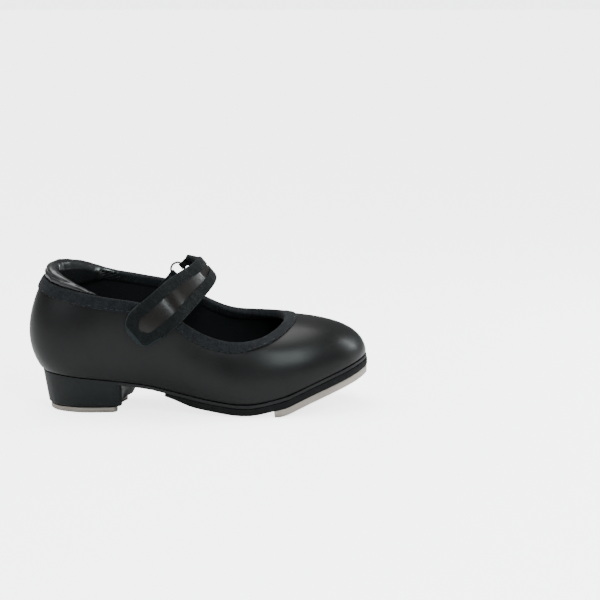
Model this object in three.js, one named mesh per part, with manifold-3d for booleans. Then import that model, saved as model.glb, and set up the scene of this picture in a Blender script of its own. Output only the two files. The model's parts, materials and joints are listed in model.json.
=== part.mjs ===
// A child's tap shoe for the right foot: a low court shoe with a strap across the instep, a moulded
// heel, a half sole and two metal taps. Millimetres. X runs from heel to toe, +Y is the inner side of
// the foot, +Z is up, and the shoe stands on its taps at z = 0.
import * as THREE from 'three';
import { mergeVertices } from 'three/addons/utils/BufferGeometryUtils.js';
import Module from 'manifold-3d';

const wasm = await Module();
wasm.setup();

// ---------------------------------------------------------------- driving sizes
const SHOE_LENGTH = 190; // heel bulge to toe tip
const BALL_WIDTH = 65; // across the sole at the ball
const QUARTER_HEIGHT = 52; // top edge above the seat at the back of the heel
const HEEL_SEAT = 22.6; // underside of the upper above the floor, at the back
const TOE_SPRING = 19.4; // rise of the seat line from the tap's flat to the toe tip

const GAP = 0.3; // between pieces that touch
const UPPER = 1.2; // coated upper material
const STIFFENER = 0.8; // heel counter and toe puff
const LINING = 0.8;
const LASTING_MARGIN = 9; // how far the upper is turned in under the foot

const RUNNER = 1.8; // full-length outsole
const SEAT_INSET = 3; // its heel seat, let into the top of the heel, in from the edge
const HALF_SOLE = 3.6; // second layer under the forepart
const HALF_SOLE_REAR = 1.4; // its skived rear edge
const HALF_SOLE_START = 73.6; // where it ends behind the ball
const HALF_SOLE_FULL = 90; // where it reaches its full thickness
const SOLE_CLEARANCE = 0.9; // lowest point of the sole above the floor
const INSOLE_BOARD = 1.5;
const SOCK = 2;
const INSOLE_INSET = 5.2; // insole board in from the feather edge

const HEEL_TAP = 3;
const TOE_TAP = 4;
const TOE_TAP_LENGTH = 56; // back from the toe tip
const TOE_TAP_FLAT = 3; // length of the toe tap's level stretch
const TAP_INSET = 0.3;
const RUNNER_INSET = 0.4;
const HEEL_TAP_SHORT = 2.6; // tap behind the foot of the breast
const HEEL_TAP_INSET = 1.0; // tap in from the foot of the heel block

const HEEL_BREAST = 49.6; // front face of the heel at its foot, on the outer side
const HEEL_TOP_INSET = 0.6; // heel in from the feather edge at its top
const HEEL_TAPER = 3.0; // and this much more at its foot
const HEEL_CORNER = 3.2; // corner radius at the breast
const HEEL_HOLLOW = 2.2; // depth of the breast's hollow curve
const HEEL_SLANT = 4; // the breast's inner side reaches this much further forward at the foot
const HEEL_WING = 10.5; // and this much at the top

const BINDING = 0.5; // tape thickness
const HEM = 0.7; // woven edge of the tape
const BINDING_WIDTH = 6.3;
const BINDING_INSIDE = 4.6;
const COLLAR_RISE = 8.2; // padded collar above the binding at the back
const COLLAR_DROP = 11; // and down the inside of the heel
const COLLAR_PAD = 2.3;

const STRAP_WIDTH = 20.4;
const STRAP_TOP_WIDTH = 15; // over the instep
const STRAP_NECK = 6.2; // at the ring
const STRAP_FACE = 0.7; // each of the strap's two skins
const STRAP_BINDING_WIDTH = 5.6;
const PAD = 0.9; // hook and loop pads

const RING_RADIUS = 3.85; // centre line of the ring's wire
const RING_WIRE = 0.65; // wire radius
const LOOP_BORE = 1.32; // inside radius of the loops round the wire
const LOOP_WALL = 0.6;
const LOOP_WIDTH = 3.6;
const TAB_LENGTH = 11;

const SCREW = { head: 2.3, headHeight: 0.8, shank: 1.0, length: 7 };
const NAIL = { head: 1.9, headHeight: 0.6, shank: 0.8, length: 15 };
const SEAT_SCREW = { head: 2.8, headHeight: 0.9, shank: 1.5, length: 16 };

// ---------------------------------------------------------------- the last
// Stations round the shoe from the back of the heel along the outer side to the toe and back along
// the inner side, drawn for a 190 x 65 last with a 52 mm back: the feather edge in plan, the top edge
// in plan with its height above the seat line, and the two handles (out, up) and (out, down) that
// round the wall between them.
const LAST = { length: 190, width: 65, height: 52 };
const STATIONS = [
  { name: 'heel back', foot: [4.1, 0], top: [6.3, 0, 52.3], low: [12, 13.5], high: [10.2, 17] },
  { name: 'outer back', foot: [9.8, -13.3], top: [11.8, -13.2, 49.6], low: [9.5, 13], high: [8, 16] },
  { name: 'outer heel', foot: [24, -21], top: [28, -22, 47.7], low: [7, 12], high: [5.5, 16] },
  { name: 'outer quarter', foot: [40, -22], top: [44, -25, 46.5], low: [6, 12], high: [4.5, 15] },
  { name: 'outer waist', foot: [58, -21.5], top: [63, -26, 46.3], low: [6.5, 12], high: [4, 14] },
  { name: 'outer strap', foot: [76, -22], top: [79, -25.7, 43.2], low: [7, 11], high: [4, 13] },
  { name: 'outer instep', foot: [94, -26], top: [94, -25, 36.1], low: [6, 10], high: [5, 10] },
  { name: 'outer ball', foot: [114, -31.5], top: [111, -24.6, 33.1], low: [4, 10], high: [7, 6] },
  { name: 'outer vamp', foot: [134, -32], top: [126, -21.8, 33.9], low: [4, 13], high: [11, 3] },
  { name: 'outer toe', foot: [157, -27.8], top: [135.4, -13.5, 35.6], low: [4, 13], high: [19, 2.2] },
  { name: 'outer tip', foot: [177.5, -17], top: [139.8, -6, 37.4], low: [2.7, 13.2], high: [26.6, -0.6] },
  { name: 'toe tip', foot: [187.6, 2], top: [141, 1, 38.1], low: [1.3, 13.7], high: [29.6, -1.9] },
  { name: 'inner tip', foot: [179, 19.5], top: [140.4, 7.5, 39.2], low: [2.7, 13.2], high: [26.6, -0.6] },
  { name: 'inner toe', foot: [159, 29.6], top: [136.4, 14, 40.6], low: [4, 13], high: [19, 2.2] },
  { name: 'inner vamp', foot: [134, 33], top: [127, 19.5, 42.7], low: [4, 14], high: [10, 4] },
  { name: 'inner ball', foot: [112, 29.5], top: [111, 22.8, 44.2], low: [4, 12], high: [6, 8] },
  { name: 'inner instep', foot: [94, 22], top: [96, 24.2, 48.3], low: [5.5, 12], high: [4, 12] },
  { name: 'inner strap', foot: [77, 18.5], top: [79, 25.5, 53.8], low: [7, 13], high: [3, 15] },
  { name: 'inner waist', foot: [58, 19], top: [62, 25.5, 53.3], low: [7, 13], high: [4, 15] },
  { name: 'inner quarter', foot: [40, 20.5], top: [44, 24.5, 54.3], low: [6, 12], high: [4.5, 16] },
  { name: 'inner heel', foot: [24, 20], top: [27.6, 22, 54.2], low: [7, 12], high: [5.5, 17] },
  { name: 'inner back', foot: [9.8, 12.8], top: [11.8, 13.2, 53.2], low: [9.5, 13], high: [8, 17] },
];
const COLUMNS = 48; // wall columns round the shoe
const WALL_ROWS = 18; // samples up one column

const v3 = (x, y, z) => new THREE.Vector3(x, y, z);
const lerp = THREE.MathUtils.lerp;
const smooth = THREE.MathUtils.smoothstep;

const along = SHOE_LENGTH / LAST.length;
const across = BALL_WIDTH / LAST.width;
const upward = QUARTER_HEIGHT / LAST.height;
const TOE_TAP_START = SHOE_LENGTH - TOE_TAP_LENGTH;
const TOE_FLAT_END = TOE_TAP_START + TOE_TAP_FLAT;
const pastFlat = (share) => lerp(TOE_FLAT_END, SHOE_LENGTH, share) / along;
const SOLE_STACK = GAP + RUNNER + GAP + HALF_SOLE;
const BALL_SEAT = SOLE_STACK + SOLE_CLEARANCE;
const TOE_SEAT = SOLE_STACK + GAP + TOE_TAP;

// The height of the seat line, the underside of the upper, along the shoe: down from the heel
// through the waist to the ball, level over the tap's flat, and up to the toe.
const SEAT_LINE = [
  [0, HEEL_SEAT + 0.3],
  [24, lerp(BALL_SEAT, HEEL_SEAT, 0.9)],
  [47, lerp(BALL_SEAT, HEEL_SEAT, 0.745)],
  [65, lerp(BALL_SEAT, HEEL_SEAT, 0.58)],
  [78, lerp(BALL_SEAT, HEEL_SEAT, 0.37)],
  [97.5, lerp(BALL_SEAT, HEEL_SEAT, 0.12)],
  [119, BALL_SEAT],
  [TOE_FLAT_END / along, TOE_SEAT],
  [pastFlat(0.08), TOE_SEAT + TOE_SPRING * 0.06],
  [pastFlat(0.18), TOE_SEAT + TOE_SPRING * 0.18],
  [pastFlat(0.33), TOE_SEAT + TOE_SPRING * 0.36],
  [pastFlat(0.65), TOE_SEAT + TOE_SPRING * 0.685],
  [pastFlat(0.86), TOE_SEAT + TOE_SPRING * 0.875],
  [190, TOE_SEAT + TOE_SPRING],
].map(([x, z]) => [x * along, z]);

function seatHeight(x) {
  const last = SEAT_LINE.length - 1;
  const at = Math.min(Math.max(SEAT_LINE.findIndex((p) => p[0] > x), 1), last);
  const k = x >= SEAT_LINE[last][0] ? last : at;
  const slope = (n) => {
    const a = SEAT_LINE[Math.max(n - 1, 0)];
    const b = SEAT_LINE[Math.min(n + 1, last)];
    return (b[1] - a[1]) / (b[0] - a[0]);
  };
  const [x0, z0] = SEAT_LINE[k - 1];
  const [x1, z1] = SEAT_LINE[k];
  const w = x1 - x0;
  const t = (x - x0) / w;
  const t2 = t * t;
  const t3 = t2 * t;
  const bend = (t3 - 2 * t2 + t) * w * slope(k - 1) + (t3 - t2) * w * slope(k);
  return z0 * (2 * t3 - 3 * t2 + 1) + z1 * (3 * t2 - 2 * t3) + bend;
}

const loopCurve = (points) => new THREE.CatmullRomCurve3(points, true, 'catmullrom', 0.5);
const footCurve = loopCurve(STATIONS.map(({ foot: [x, y] }) => v3(x * along, y * across, 0)));
const topCurve = loopCurve(STATIONS.map(({ top: [x, y, h] }) => (
  v3(x * along, y * across, seatHeight(x * along) + h * upward)
)));
const lowCurve = loopCurve(STATIONS.map(({ low: [out, up] }) => v3(out, up * upward, 0)));
const highCurve = loopCurve(STATIONS.map(({ high: [out, down] }) => v3(out, down * upward, 0)));

function outwardOf(curve, t) {
  const tangent = curve.getTangent(t);
  return v3(tangent.y, -tangent.x, 0).normalize();
}

// One column of the wall: its outer face from the feather edge to the top edge.
function wallColumn(index) {
  const t = index / COLUMNS;
  const foot = footCurve.getPoint(t);
  foot.z = seatHeight(foot.x);
  const top = topCurve.getPoint(t);
  const low = lowCurve.getPoint(t);
  const high = highCurve.getPoint(t);
  const out = outwardOf(footCurve, t);
  const c1 = foot.clone().addScaledVector(out, low.x).add(v3(0, 0, low.y));
  const c2 = top.clone().addScaledVector(outwardOf(topCurve, t), high.x).add(v3(0, 0, -high.y));
  const curve = new THREE.CubicBezierCurve3(foot, c1, c2, top);
  return { foot, out, points: curve.getPoints(WALL_ROWS) };
}

const wall = Array.from({ length: COLUMNS }, (_, i) => wallColumn(i));
wall.forEach((column, i) => {
  const before = wall[(i + COLUMNS - 1) % COLUMNS].points;
  const after = wall[(i + 1) % COLUMNS].points;
  column.normals = column.points.map((point, j) => {
    const round = after[j].clone().sub(before[j]);
    const up = column.points[Math.min(j + 1, WALL_ROWS)].clone();
    up.sub(column.points[Math.max(j - 1, 0)]);
    return round.cross(up).normalize();
  });
  column.reach = [0];
  for (let j = 1; j <= WALL_ROWS; j += 1) {
    column.reach.push(column.reach[j - 1] + column.points[j].distanceTo(column.points[j - 1]));
  }
  column.length = column.reach[WALL_ROWS];
});

// A point in column i at a distance s up the wall, and a depth in from its outer face. Past the top
// edge the wall runs on straight.
function wallPoint(i, s, depth) {
  const { points, normals, reach, length } = wall[(i + COLUMNS) % COLUMNS];
  if (s >= length) {
    const tangent = points[WALL_ROWS].clone().sub(points[WALL_ROWS - 1]).normalize();
    const end = points[WALL_ROWS].clone().addScaledVector(tangent, s - length);
    return end.addScaledVector(normals[WALL_ROWS], -depth);
  }
  const j = Math.max(reach.findIndex((r) => r > s), 1);
  const k = (s - reach[j - 1]) / (reach[j] - reach[j - 1]);
  const normal = normals[j - 1].clone().lerp(normals[j], k).normalize();
  return points[j - 1].clone().lerp(points[j], k).addScaledVector(normal, -depth);
}

// Where a layer at a depth turns from the wall to the lasting margin: how far in from the feather
// edge, and how far up the wall.
function layerCorner(i, depth) {
  const { points, out } = wall[i];
  const rise = points[1].clone().sub(points[0]).normalize();
  const lean = rise.dot(out);
  const inset = (depth * (1 - lean)) / rise.z;
  return { inset, up: depth * rise.z - inset * lean };
}

function marginPoint(i, inset, depth) {
  const { foot, out } = wall[i];
  const point = foot.clone().addScaledVector(out, -inset);
  point.z = seatHeight(point.x) + depth;
  return point;
}

// ---------------------------------------------------------------- mesh helpers
function solidVolume(positions, faces) {
  let sum = 0;
  const [a, b, c] = [v3(), v3(), v3()];
  for (let f = 0; f < faces.length; f += 3) {
    a.fromArray(positions, faces[f] * 3);
    b.fromArray(positions, faces[f + 1] * 3);
    c.fromArray(positions, faces[f + 2] * 3);
    sum += a.dot(b.cross(c)) / 6;
  }
  return sum;
}

function solidGeometry(vertices, faces) {
  const positions = vertices.flatMap((p) => [p.x, p.y, p.z]);
  if (solidVolume(positions, faces) < 0) {
    faces.reverse();
  }
  const geometry = new THREE.BufferGeometry();
  geometry.setAttribute('position', new THREE.Float32BufferAttribute(positions, 3));
  geometry.setIndex(faces);
  return geometry;
}

const quad = (a, b, c, d) => [a, b, c, a, c, d];
const BOX_END = [[0, 1, 2], [0, 2, 3]]; // the end of a sweep of four-cornered rings

// The triangles that fill a ring, given in its own plane.
function fillRing(flat) {
  const points = flat.map(([a, b]) => new THREE.Vector2(a, b));
  const clockwise = THREE.ShapeUtils.area(points) < 0;
  const faces = THREE.ShapeUtils.triangulateShape(points, []);
  return faces.map(([a, b, c]) => (clockwise ? [a, c, b] : [a, b, c]));
}

// A body swept through rings of points. An open sweep is closed by the end triangles; without them
// the last ring joins the first. From the ring's point number turn on, quads are split the other way.
function sweepRings(rings, ends, turn = Infinity) {
  const closed = !ends;
  const size = rings[0].length;
  const faces = [];
  const spans = closed ? rings.length : rings.length - 1;
  for (let i = 0; i < spans; i += 1) {
    const a = i * size;
    const b = ((i + 1) % rings.length) * size;
    for (let j = 0; j < size; j += 1) {
      const n = (j + 1) % size;
      const corners = j < turn ? [a + j, b + j, b + n, a + n] : [b + j, b + n, a + n, a + j];
      faces.push(...quad(...corners));
    }
  }
  if (!closed) {
    const far = (rings.length - 1) * size;
    ends.forEach(([a, b, c]) => faces.push(a, b, c, far + a, far + c, far + b));
  }
  return solidGeometry(rings.flat(), faces);
}

// A shell between an outer and an inner grid of columns, with the same facets on both faces.
function shell(outer, inner, closed) {
  const rings = outer.map((column, i) => [...column, ...inner[i].slice().reverse()]);
  const rows = outer[0].length;
  const ends = [];
  for (let j = 0; j < rows - 1; j += 1) {
    const k = rows * 2 - 1 - j;
    ends.push([j, j + 1, k], [j + 1, k - 1, k]);
  }
  return sweepRings(rings, closed ? null : ends, rows);
}

function toSolid(geometry) {
  const plain = new THREE.BufferGeometry();
  plain.setAttribute('position', geometry.getAttribute('position').clone());
  if (geometry.index) {
    plain.setIndex(geometry.index.clone());
  }
  const merged = mergeVertices(plain, 1e-5);
  return new wasm.Manifold(new wasm.Mesh({
    numProp: 3,
    vertProperties: new Float32Array(merged.getAttribute('position').array),
    triVerts: new Uint32Array(merged.index.array),
  }));
}

function fromSolid(solid) {
  const mesh = solid.getMesh();
  const geometry = new THREE.BufferGeometry();
  geometry.setAttribute('position', new THREE.BufferAttribute(new Float32Array(mesh.vertProperties), 3));
  geometry.setIndex(new THREE.BufferAttribute(new Uint32Array(mesh.triVerts), 1));
  return geometry;
}

const cutWith = (geometry, tools) => (
  fromSolid(tools.reduce((solid, tool) => solid.subtract(toSolid(tool)), toSolid(geometry)))
);

// ---------------------------------------------------------------- the outline in plan
const OUTLINE_STEPS = 240;

// The feather outline moved in by an inset, as the two y values at a given x.
function outline(inset) {
  const points = Array.from({ length: OUTLINE_STEPS }, (_, i) => {
    const t = i / OUTLINE_STEPS;
    return footCurve.getPoint(t).addScaledVector(outwardOf(footCurve, t), -inset);
  });
  const xs = points.map((p) => p.x);
  const sides = (x) => {
    const hits = [];
    points.forEach((a, i) => {
      const b = points[(i + 1) % OUTLINE_STEPS];
      if ((a.x - x) * (b.x - x) <= 0 && a.x !== b.x) {
        hits.push(lerp(a.y, b.y, (x - a.x) / (b.x - a.x)));
      }
    });
    return [Math.min(...hits), Math.max(...hits)];
  };
  return { back: Math.min(...xs), tip: Math.max(...xs), sides };
}

// An outline that is narrower behind the breast of the heel.
function seatOutline(rear, front) {
  const behind = outline(rear);
  const ahead = outline(front);
  const sides = (x) => {
    const k = smooth(x, HEEL_BREAST - 5, HEEL_BREAST - 3);
    if (k === 0 || k === 1) {
      return (k ? ahead : behind).sides(x);
    }
    const narrow = behind.sides(x);
    return ahead.sides(x).map((y, n) => lerp(narrow[n], y, k));
  };
  return { back: behind.back, tip: ahead.tip, sides };
}

// A sheet that follows an outline from x0 to x1 between two heights. The ends of the outline are
// rounded by closer steps; END_STEP keeps the last slice a real width.
const SHEET_STEPS = 36;
const END_STEP = 0.25;

function sheet(plan, x0, x1, low, high) {
  const start = Math.max(x0, plan.back + END_STEP);
  const end = Math.min(x1, plan.tip - END_STEP);
  const rings = [];
  for (let i = 0; i <= SHEET_STEPS; i += 1) {
    const x = start + ((end - start) * (1 - Math.cos((Math.PI * i) / SHEET_STEPS))) / 2;
    const [y0, y1] = plan.sides(x);
    const zLow = low(x);
    const zHigh = high(x);
    rings.push([v3(x, y0, zLow), v3(x, y1, zLow), v3(x, y1, zHigh), v3(x, y0, zHigh)]);
  }
  return sweepRings(rings, BOX_END);
}

const above = (offset) => (x) => seatHeight(x) + offset;

// ---------------------------------------------------------------- fasteners
// A headed fastener whose head is at the origin and whose shank runs up +Z; grow widens it for its
// hole.
function fastener({ head, headHeight, shank, length }, grow, through) {
  const over = through ? 1 : 0;
  const profile = [
    [0, -over],
    [head + grow, -over],
    [head + grow, headHeight * 0.4 + grow * 1.4],
    [shank + grow, headHeight + grow * 1.6],
    [shank + grow, length - shank + grow],
    [0, length + grow * 2],
  ].map(([r, z]) => new THREE.Vector2(r, z));
  return new THREE.LatheGeometry(profile, 8).rotateX(Math.PI / 2);
}

// The underside of the toe tap: level on the floor, then up with the toe spring.
const tapUnder = (x) => Math.max(seatHeight(x) - TOE_SEAT, 0);
const tapSlope = (x) => Math.atan2(tapUnder(x + 1) - tapUnder(x - 1), 2);

function placeUnderTap(geometry, [x, y]) {
  return geometry.rotateY(-tapSlope(x)).translate(x, y, tapUnder(x));
}

const HEEL_SCREW_SPOTS = [[19.5, 0], [40, -9.5], [40, 9.5]];
const TOE_SCREW_SPOTS = [[TOE_TAP_START + 10, -19], [TOE_TAP_START + 10, 21], [SHOE_LENGTH - 14, 3]];
const NAIL_SPOTS = [[20, -6], [20, 6], [37, -6.5], [37, 6.5]];
const SEAT_SCREW_SPOT = [29, 0];

const BOARD_TOP = UPPER + GAP + STIFFENER + GAP + LINING + GAP + INSOLE_BOARD;
const NAIL_HEAD_DROP = 0.2; // nail heads below the top of the insole board

const heelScrewHoles = HEEL_SCREW_SPOTS.map(([x, y]) => fastener(SCREW, GAP, true).translate(x, y, 0));
const toeScrewHoles = TOE_SCREW_SPOTS.map((spot) => placeUnderTap(fastener(SCREW, GAP, true), spot));

function seatFastener(size, [x, y], grow, through) {
  const z = seatHeight(x) + BOARD_TOP - NAIL_HEAD_DROP;
  return fastener(size, grow, through).rotateX(Math.PI).translate(x, y, z);
}

const seatHoles = [
  ...NAIL_SPOTS.map((spot) => seatFastener(NAIL, spot, GAP, true)),
  seatFastener(SEAT_SCREW, SEAT_SCREW_SPOT, GAP, true),
];

// ---------------------------------------------------------------- upper, linings and stiffeners
const WALL_STEPS = [0.07, 0.2, 0.35, 0.5, 0.66, 0.83, 1]; // from the turn to the binding's edge
const MARGIN_STEPS = [1, 0.4];

// One face of a lasted layer: the margin under the foot, the turn, and the wall to the top edge.
// All layers share their rows, so their facets stay parallel.
function layerFace(i, depth) {
  const { inset, up } = layerCorner(i, depth);
  const { length } = wall[i];
  const under = MARGIN_STEPS.map((k) => marginPoint(i, lerp(inset, LASTING_MARGIN, k), depth));
  const side = WALL_STEPS.map((k) => lerp(up, length - BINDING_WIDTH, k));
  const bound = [length - BINDING_WIDTH / 2, length];
  return [...under, marginPoint(i, inset, depth), ...[...side, ...bound].map((s) => wallPoint(i, s, depth))];
}

function lastedLayer(depth, thickness) {
  const columns = [...wall.keys()];
  const outer = columns.map((i) => layerFace(i, depth));
  const inner = columns.map((i) => layerFace(i, depth + thickness));
  return shell(outer, inner, true);
}

const STIFFENER_DEPTH = UPPER + GAP;
const LINING_DEPTH = STIFFENER_DEPTH + STIFFENER + GAP;
const INNER_FACE = LINING_DEPTH + LINING;

// A stiffener covers some columns and rows of the wall, between the upper and the lining.
function stiffener(first, last, rows) {
  const columns = Array.from({ length: last - first + 1 }, (_, n) => (first + n + COLUMNS) % COLUMNS);
  const face = (depth) => columns.map((i) => layerFace(i, depth).slice(1, rows));
  return shell(face(STIFFENER_DEPTH), face(STIFFENER_DEPTH + STIFFENER), false);
}

// ---------------------------------------------------------------- binding and collar
// The tape folded over the top edge: (distance up from the top edge, depth) round its section.
const BINDING_SECTION = [
  [-BINDING_WIDTH, -GAP - BINDING],
  [-BINDING_WIDTH + HEM, -GAP - BINDING],
  [-BINDING_WIDTH * 0.5, -GAP - BINDING],
  [0, -GAP - BINDING],
  [GAP + BINDING, 0.2],
  [GAP + BINDING, INNER_FACE - 0.2],
  [0, INNER_FACE + GAP + BINDING],
  [-BINDING_INSIDE, INNER_FACE + GAP + BINDING],
  [-BINDING_INSIDE, INNER_FACE + GAP],
  [0, INNER_FACE + GAP],
  [GAP, INNER_FACE - 0.2],
  [GAP, 0.2],
  [0, -GAP],
  [-BINDING_WIDTH * 0.5, -GAP],
  [-BINDING_WIDTH + HEM, -GAP],
  [-BINDING_WIDTH, -GAP],
];
const BINDING_TURN = BINDING_SECTION.length - 4; // from here on the section runs back down the wall

function toplineBinding() {
  const rings = wall.map((column, i) => (
    BINDING_SECTION.map(([up, depth]) => wallPoint(i, column.length + up, depth))
  ));
  return sweepRings(rings, null, BINDING_TURN);
}

// The padded collar round the back of the opening: a roll above the binding with a leg down the
// inside of the heel. It fades out towards both ends.
const COLLAR_END = 0.4; // what is left of its height at its ends
const COLLAR_ENDS = [-7, 6]; // its last wall columns on the inner and the outer side

function collarSection(fade) {
  const seat = GAP + BINDING + GAP;
  const inside = INNER_FACE + GAP + BINDING + GAP;
  const rise = seat + lerp(COLLAR_END, COLLAR_RISE, fade);
  const pad = COLLAR_PAD * (0.25 + 0.75 * fade);
  const drop = -COLLAR_DROP * (0.45 + 0.55 * fade);
  return [
    [seat, 0.1 - 0.9 * fade],
    [lerp(seat, rise, 0.5), -0.1 - 1.3 * fade],
    [lerp(seat, rise, 0.9), 0.5 - 0.6 * fade],
    [rise, 2.4],
    [lerp(seat, rise, 0.92), inside - 0.6],
    [lerp(seat, rise, 0.4), inside + pad * 0.8],
    [-2, inside + pad],
    [drop * 0.6, inside + pad],
    [drop + 0.8, inside + pad * 0.8],
    [drop, inside + pad * 0.35],
    [drop + 0.4, inside],
    [drop * 0.5, inside],
    [seat, inside],
  ];
}

function heelCollar() {
  const rings = [];
  const [first, last] = COLLAR_ENDS;
  for (let c = first; c <= last; c += 1) {
    const i = (c + COLUMNS) % COLUMNS;
    const fade = 1 - smooth(c < 0 ? c / first : c / last, 0.3, 1);
    rings.push(collarSection(fade).map(([up, depth]) => wallPoint(i, wall[i].length + up, depth)));
  }
  return sweepRings(rings, fillRing(collarSection(0).map(([up, depth]) => [depth, up])));
}

// ---------------------------------------------------------------- heel
// The heel's outline at one level: the back follows the feather outline, the corners are rounded
// and the breast is hollowed.
const HEEL_SIDE_STEPS = 13;
const CORNER_STEPS = 4;
const BREAST_STEPS = 6;

function heelOutline(inset, breast, wing) {
  const plan = outline(inset);
  const back = plan.back + 0.02;
  const ends = [breast - HEEL_CORNER, breast + wing - HEEL_CORNER];
  const side = (which, n) => {
    const x = lerp(back, ends[which], (1 - Math.cos((Math.PI * n) / HEEL_SIDE_STEPS)) / 2);
    return [x, plan.sides(x)[which]];
  };
  const points = [];
  for (let n = HEEL_SIDE_STEPS; n >= 1; n -= 1) {
    points.push(side(0, n));
  }
  points.push([plan.back, (side(0, 0)[1] + side(1, 0)[1]) / 2]);
  for (let n = 1; n <= HEEL_SIDE_STEPS; n += 1) {
    points.push(side(1, n));
  }
  const [outer, inner] = ends.map((x, which) => plan.sides(x)[which]);
  const corner = (which, n) => {
    const angle = (Math.PI / 2) * (n / CORNER_STEPS);
    const inward = HEEL_CORNER * (1 - Math.cos(angle));
    return [ends[which] + HEEL_CORNER * Math.sin(angle), which ? inner - inward : outer + inward];
  };
  for (let n = 1; n <= CORNER_STEPS; n += 1) {
    points.push(corner(1, n));
  }
  for (let n = 1; n < BREAST_STEPS; n += 1) {
    const k = n / BREAST_STEPS;
    const y = lerp(inner - HEEL_CORNER, outer + HEEL_CORNER, k);
    points.push([breast + wing * (1 - k) - HEEL_HOLLOW * Math.sin(Math.PI * k), y]);
  }
  for (let n = CORNER_STEPS; n >= 1; n -= 1) {
    points.push(corner(0, n));
  }
  return points;
}

function heelBody(levels) {
  const rings = levels.map(({ inset, breast, wing, height }) => (
    heelOutline(inset, breast, wing).map(([x, y]) => v3(x, y, height(x)))
  ));
  return sweepRings(rings, fillRing(heelOutline(levels[0].inset, levels[0].breast, levels[0].wing)));
}

const HEEL_FOOT = HEEL_TAP + GAP;
const heelTop = above(-GAP);
const HEEL_EDGE = 1.3; // rounding of the block's lower edge

function heelBlock() {
  const level = (k, pull) => ({
    inset: HEEL_TOP_INSET + HEEL_TAPER * (1 - k) + pull,
    breast: HEEL_BREAST - pull,
    wing: lerp(HEEL_SLANT, HEEL_WING, k),
    height: (x) => lerp(HEEL_FOOT, heelTop(x), k),
  });
  const edge = HEEL_EDGE / (HEEL_SEAT - HEEL_FOOT);
  const block = heelBody([level(0, HEEL_EDGE), level(edge * 0.35, HEEL_EDGE * 0.35), level(edge, 0),
    level(0.4, 0), level(0.75, 0), level(1, 0)]);
  return cutWith(block, [runnerSheet(GAP), ...heelScrewHoles, ...seatHoles]);
}

function heelTap() {
  const inset = HEEL_TOP_INSET + HEEL_TAPER + HEEL_TAP_INSET;
  const breast = HEEL_BREAST - HEEL_TAP_SHORT;
  const level = (pull, z) => ({
    inset: inset + pull,
    breast: breast - pull,
    wing: HEEL_SLANT,
    height: () => z,
  });
  const tap = heelBody([level(0.5, 0), level(0, 0.5), level(0, HEEL_TAP)]);
  return cutWith(tap, heelScrewHoles);
}

// ---------------------------------------------------------------- soles and taps
function runnerSheet(grow) {
  const plan = seatOutline(SEAT_INSET - grow, RUNNER_INSET - grow);
  return sheet(plan, 0, SHOE_LENGTH, above(-GAP - RUNNER - grow), above(-GAP + grow * 2));
}

const runnerSole = () => cutWith(runnerSheet(0), [...toeScrewHoles, ...seatHoles]);

function halfSole() {
  const top = above(-GAP - RUNNER - GAP);
  const skive = (x) => lerp(HALF_SOLE_REAR, HALF_SOLE, smooth(x, HALF_SOLE_START, HALF_SOLE_FULL));
  const body = sheet(outline(0), HALF_SOLE_START, SHOE_LENGTH, (x) => top(x) - skive(x), top);
  return cutWith(body, toeScrewHoles);
}

function toeTap() {
  const body = sheet(outline(TAP_INSET), TOE_TAP_START, SHOE_LENGTH, tapUnder, above(-SOLE_STACK - GAP));
  return cutWith(body, toeScrewHoles);
}

const BOARD_LOW = INNER_FACE + GAP;

function insoleBoard() {
  const body = sheet(outline(INSOLE_INSET), 0, SHOE_LENGTH, above(BOARD_LOW), above(BOARD_TOP));
  return cutWith(body, seatHoles);
}

function sockLiner() {
  const low = BOARD_TOP + GAP;
  return sheet(outline(INSOLE_INSET), 0, SHOE_LENGTH, above(low), above(low + SOCK));
}

const SHANK = { start: 44, end: 96, width: 11, thickness: 1.1 };

function shank() {
  const rings = [];
  const steps = 12;
  for (let n = 0; n <= steps; n += 1) {
    const x = lerp(SHANK.start, SHANK.end, n / steps);
    const half = (SHANK.width / 2) * (0.6 + 0.4 * Math.sin((Math.PI * n) / steps));
    const top = seatHeight(x) + BOARD_LOW - GAP;
    const low = top - SHANK.thickness;
    rings.push([v3(x, -half, low), v3(x, half, low), v3(x, half, top), v3(x, -half, top)]);
  }
  return sweepRings(rings, BOX_END);
}

// The filler lies level with the lasting margin, in front of the shank.
function bottomFiller() {
  const plan = outline(LASTING_MARGIN + 1.2);
  return sheet(plan, SHANK.end + 2, SHOE_LENGTH, above(GAP / 2), above(INNER_FACE));
}

// ---------------------------------------------------------------- strap, ring and fastening pads
// The strap lies in a slanting plane: e runs up and forwards along it, w across it, down and
// forwards. Its centre line is set out from the ring to the tip.
const SLOPE = Math.atan2(0.64, 0.77);
const E = v3(Math.cos(SLOPE), 0, Math.sin(SLOPE));
const W = v3(Math.sin(SLOPE), 0, -Math.cos(SLOPE));

const TAB_ANGLE = Math.PI * 1.25; // where the tab holds the ring
const innerEar = topCurve.getPoint(17 / STATIONS.length);
const tabPoint = innerEar.clone().add(v3(-1.6, -1.6, 4.7));
const ringCentre = tabPoint.clone().sub(
  v3(Math.cos(TAB_ANGLE), 0, Math.sin(TAB_ANGLE)).multiplyScalar(RING_RADIUS),
);
const ringGrip = ringCentre.clone().addScaledVector(E, RING_RADIUS);
const outerEar = topCurve.getPoint(4.7 / STATIONS.length);

// The strap's neutral surface stands off the wall by the pads and half its own thickness.
const STRAP_HALF = GAP / 2 + STRAP_FACE;
const STRAP_SKIN = STRAP_HALF + GAP + BINDING;
const STRAP_STAND = GAP + PAD + GAP + PAD + GAP + STRAP_SKIN;

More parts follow.
